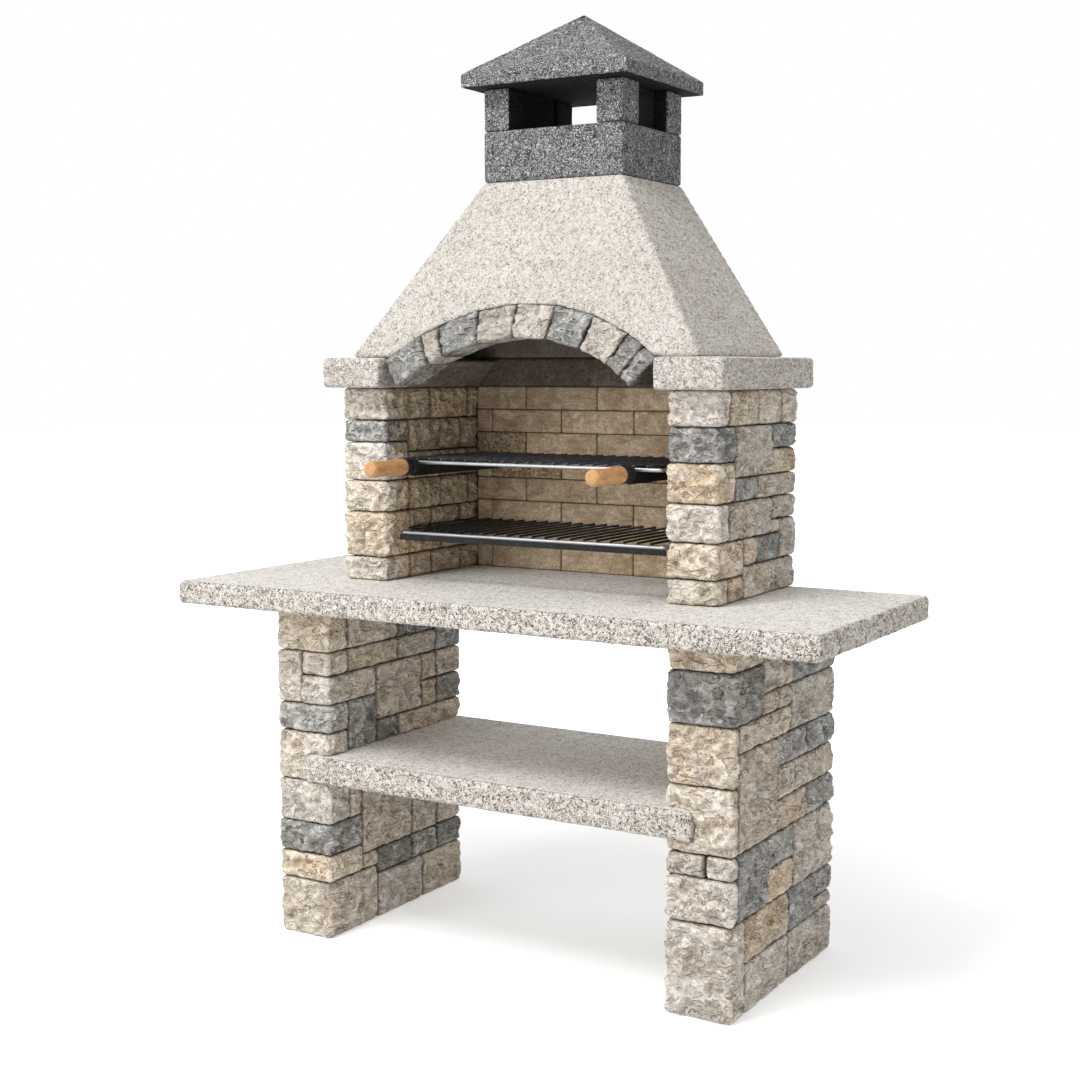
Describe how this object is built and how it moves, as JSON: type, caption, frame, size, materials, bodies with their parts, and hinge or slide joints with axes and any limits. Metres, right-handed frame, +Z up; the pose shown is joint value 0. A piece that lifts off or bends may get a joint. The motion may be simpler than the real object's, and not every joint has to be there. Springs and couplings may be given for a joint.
{
  "type": "masonry barbecue",
  "caption": "Free-standing stone barbecue: stone legs, log shelf, worktop, arched firebox of firebrick with sliding grill and charcoal grate, tapered hood and capped chimney.",
  "frame": {"origin": "on the ground, under the middle of the overall box", "axes": "+Z up, +X to the right when facing the firebox, +Y from the front to the back"},
  "size_m": [1.73, 0.766, 2.302],
  "materials": {
    "pale_stone": "rock-faced pale cream stone",
    "buff_stone": "rock-faced buff stone",
    "taupe_stone": "rock-faced taupe stone",
    "grey_stone": "rock-faced dark grey stone",
    "granite_concrete": "pale speckled cast concrete",
    "dark_concrete": "dark grey flecked cast concrete",
    "firebrick": "matt fired clay",
    "bright_steel": "plated steel rod",
    "black_steel": "blackened steel, satin",
    "handle_wood": "oiled turned wood"
  },
  "bodies": {
    "masonry": {"arch_keystone": "pale_stone", "arch_left_stone_1": "grey_stone", "arch_left_stone_2": "taupe_stone", "arch_left_stone_3": "grey_stone", "arch_left_stone_4": "taupe_stone", "arch_right_stone_1": "grey_stone", "arch_right_stone_2": "grey_stone", "arch_right_stone_3": "pale_stone", "arch_right_stone_4": "grey_stone", "charcoal_left_rail": "black_steel", "charcoal_right_rail": "black_steel", "chimney_base": "dark_concrete", "chimney_cap": "dark_concrete", "chimney_posts": "dark_concrete", "chimney_side_plates": "dark_concrete", "cooking_left_rail": "black_steel", "cooking_right_rail": "black_steel", "firebrick_course_1": "firebrick", "firebrick_course_2": "firebrick", "firebrick_course_3": "firebrick", "firebrick_course_4": "firebrick", "firebrick_course_5": "firebrick", "firebrick_course_6": "firebrick", "firebrick_course_7": "firebrick", "firebrick_course_8": "firebrick", "hood": "granite_concrete", "left_leg_buff_stones": "buff_stone", "left_leg_grey_stones": "grey_stone", "left_leg_pale_stones": "pale_stone", "left_leg_taupe_stones": "taupe_stone", "left_lintel": "granite_concrete", "left_pillar_buff_stones": "buff_stone", "left_pillar_grey_stones": "grey_stone", "left_pillar_pale_stones": "pale_stone", "left_pillar_taupe_stones": "taupe_stone", "lower_shelf": "granite_concrete", "rail_pins": "black_steel", "rear_lintel": "granite_concrete", "right_leg_buff_stones": "buff_stone", "right_leg_grey_stones": "grey_stone", "right_leg_pale_stones": "pale_stone", "right_leg_taupe_stones": "taupe_stone", "right_lintel": "granite_concrete", "right_pillar_buff_stones": "buff_stone", "right_pillar_grey_stones": "grey_stone", "right_pillar_pale_stones": "pale_stone", "right_pillar_taupe_stones": "taupe_stone", "worktop_slab": "granite_concrete"},
    "cooking_grill": {"cooking_frame": "bright_steel", "cooking_rods": "black_steel", "left_ferrule": "black_steel", "left_handle": "handle_wood", "left_runner": "black_steel", "right_ferrule": "black_steel", "right_handle": "handle_wood", "right_runner": "black_steel"},
    "charcoal_grate": {"charcoal_frame": "bright_steel", "charcoal_front_bar": "black_steel", "charcoal_rods": "black_steel"}
  },
  "joints": [
    {"name": "cooking_grill_slide", "type": "slide", "parent": "masonry", "child": "cooking_grill", "axis": [0, -1, 0], "range_m": [0, 0.3]},
    {"name": "charcoal_grate_slide", "type": "slide", "parent": "masonry", "child": "charcoal_grate", "axis": [0, -1, 0], "range_m": [0, 0.3]}
  ]
}
